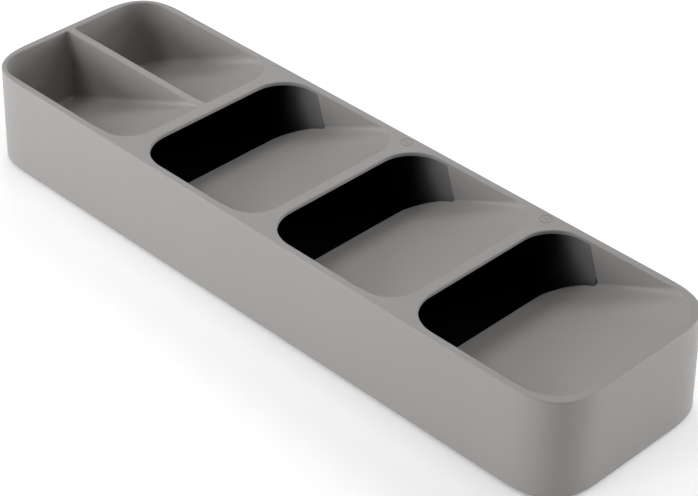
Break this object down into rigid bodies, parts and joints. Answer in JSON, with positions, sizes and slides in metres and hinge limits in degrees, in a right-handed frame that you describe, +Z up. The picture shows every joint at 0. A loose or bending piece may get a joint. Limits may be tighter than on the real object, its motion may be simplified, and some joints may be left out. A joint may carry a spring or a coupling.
{
  "type": "drawer organizer insert",
  "caption": "Long, narrow cutlery insert for a drawer: ramped bays overlap like stairs, each opening into a pocket under the next one, with small divided bays at the rear.",
  "frame": {"origin": "centre of the bounding box's bottom, on the plane that the feet stand on", "axes": "+X across the width, +Y along the length from the front ramp's rim towards the two small bays, +Z up"},
  "size_m": [0.1118, 0.397, 0.055],
  "materials": {
    "grey_plastic": "fine matt texture",
    "charcoal_plastic": "fine matt texture",
    "rubber": "matt"
  },
  "bodies": {
    "root": {"tray_body": "grey_plastic", "base_plate": "charcoal_plastic", "foot_front_left": "rubber", "foot_front_right": "rubber", "foot_rear_left": "rubber", "foot_rear_right": "rubber"}
  },
  "joints": []
}
